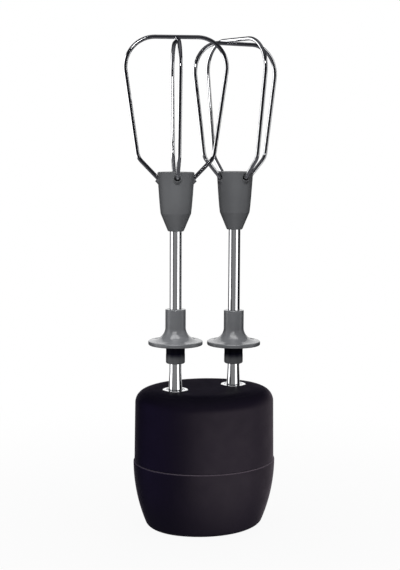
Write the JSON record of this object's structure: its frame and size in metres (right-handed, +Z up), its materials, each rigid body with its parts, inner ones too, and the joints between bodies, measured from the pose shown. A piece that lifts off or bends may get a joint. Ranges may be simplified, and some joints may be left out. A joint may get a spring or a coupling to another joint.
{
  "type": "hand mixer beater attachment",
  "caption": "Hand-mixer beater attachment: an oval gearbox with a coupling socket underneath and wire beaters that spin against each other and pull out.",
  "frame": {"origin": "on the coupling socket's axis, in the plane of its mouth, which is the face that the part stands on", "axes": "+Z up along the beaters; +X from the left spindle to the right one, along the oval's long side"},
  "size_m": [0.0821, 0.0656, 0.2445],
  "materials": {
    "shell_upper": "satin, near-black with a plum tint",
    "shell_lower": "satin, near-black with a plum tint",
    "rubber_black": "matt",
    "pressed_steel": "pressed, satin",
    "zinc_screws": "zinc plated",
    "ground_steel": "ground",
    "spring_steel": "blued grey",
    "bronze": "sintered, oiled",
    "gear_nylon": "natural nylon, greased",
    "gear_brass": "cut brass",
    "dog_nylon": "moulded nylon",
    "collar_chrome": "polished",
    "shaft_chrome": "polished tube",
    "wire_chrome": "polished wire",
    "guard_grey": "satin mid-grey",
    "hub_grey": "satin mid-grey",
    "band_black": "satin black"
  },
  "bodies": {
    "housing": {"lower_housing": "shell_lower", "upper_housing": "shell_upper", "housing_gasket": "rubber_black", "gear_bridge": "pressed_steel", "bridge_screws": "zinc_screws", "idler_axle": "ground_steel", "input_bush": "bronze", "left_lower_bush": "bronze", "right_lower_bush": "bronze", "left_upper_bush": "bronze", "right_upper_bush": "bronze", "left_shaft_seal": "rubber_black", "right_shaft_seal": "rubber_black", "left_collar": "collar_chrome", "right_collar": "collar_chrome"},
    "input_drive": {"drive_dog": "dog_nylon", "input_shaft": "ground_steel", "input_pinion": "gear_brass", "input_clip": "spring_steel"},
    "idler": {"idler_gear": "gear_nylon", "idler_pinion": "gear_brass", "idler_washer": "spring_steel"},
    "left_drive": {"left_spindle": "ground_steel", "left_output_gear": "gear_nylon", "left_detent_clip": "spring_steel"},
    "left_beater": {"left_beater_shaft": "shaft_chrome", "left_splash_guard": "guard_grey", "left_drip_ring": "band_black", "left_ferrule": "guard_grey", "left_hub": "hub_grey", "left_outer_loop": "wire_chrome", "left_inner_loop": "wire_chrome"},
    "right_drive": {"right_spindle": "ground_steel", "right_output_gear": "gear_nylon", "right_detent_clip": "spring_steel"},
    "right_beater": {"right_beater_shaft": "shaft_chrome", "right_splash_guard": "guard_grey", "right_drip_ring": "band_black", "right_ferrule": "guard_grey", "right_hub": "hub_grey", "right_outer_loop": "wire_chrome", "right_inner_loop": "wire_chrome"}
  },
  "joints": [
    {"name": "left_spin", "type": "hinge", "parent": "housing", "child": "left_drive", "pos_m": [-0.0165, 0, 0], "axis": [0, 0, 1], "continuous": true},
    {"name": "right_spin", "type": "hinge", "parent": "housing", "child": "right_drive", "pos_m": [0.0165, 0, 0], "axis": [0, 0, 1], "continuous": true},
    {"name": "idler_spin", "type": "hinge", "parent": "housing", "child": "idler", "pos_m": [-0.002, 0.01587, 0], "axis": [0, 0, 1], "continuous": true},
    {"name": "input_spin", "type": "hinge", "parent": "housing", "child": "input_drive", "pos_m": [0, 0, 0], "axis": [0, 0, 1], "continuous": true},
    {"name": "left_release", "type": "slide", "parent": "left_drive", "child": "left_beater", "axis": [0, 0, 1], "range_m": [0, 0.026]},
    {"name": "right_release", "type": "slide", "parent": "right_drive", "child": "right_beater", "axis": [0, 0, 1], "range_m": [0, 0.026]}
  ],
  "couplings": [
    {"joint": "right_spin", "follows": "left_spin", "ratio": -1},
    {"joint": "idler_spin", "follows": "left_spin", "ratio": -3.3},
    {"joint": "input_spin", "follows": "left_spin", "ratio": 9.9},
    {"joint": "right_release", "follows": "left_release", "ratio": 1}
  ]
}
